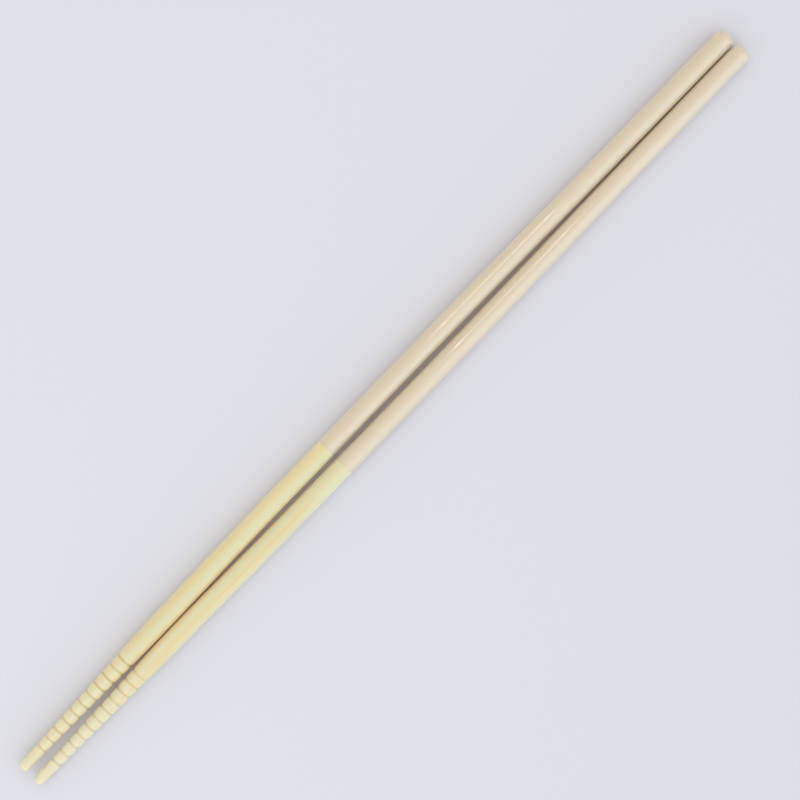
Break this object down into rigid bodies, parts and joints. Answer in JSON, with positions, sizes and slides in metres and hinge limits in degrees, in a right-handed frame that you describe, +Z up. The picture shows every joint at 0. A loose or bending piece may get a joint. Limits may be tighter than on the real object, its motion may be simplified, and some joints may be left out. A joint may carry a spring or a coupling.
{
  "type": "pair of bamboo chopsticks",
  "caption": "Long, slim round chopsticks of bamboo lying side by side, with turned grip rings near the tapered tips and cream lacquer over the handle half.",
  "frame": {"origin": "under the middle of the pair, on the surface that both sticks lie on", "axes": "+X runs from the tapered tips to the domed butts, +Y towards the left chopstick as seen from the butts, +Z up off the surface"},
  "size_m": [0.33, 0.015, 0.0069],
  "materials": {
    "bamboo": "bare satin bamboo at the tip end, glossy cream lacquer over the handle"
  },
  "bodies": {
    "root": {"left_chopstick": "bamboo", "right_chopstick": "bamboo"}
  },
  "joints": []
}
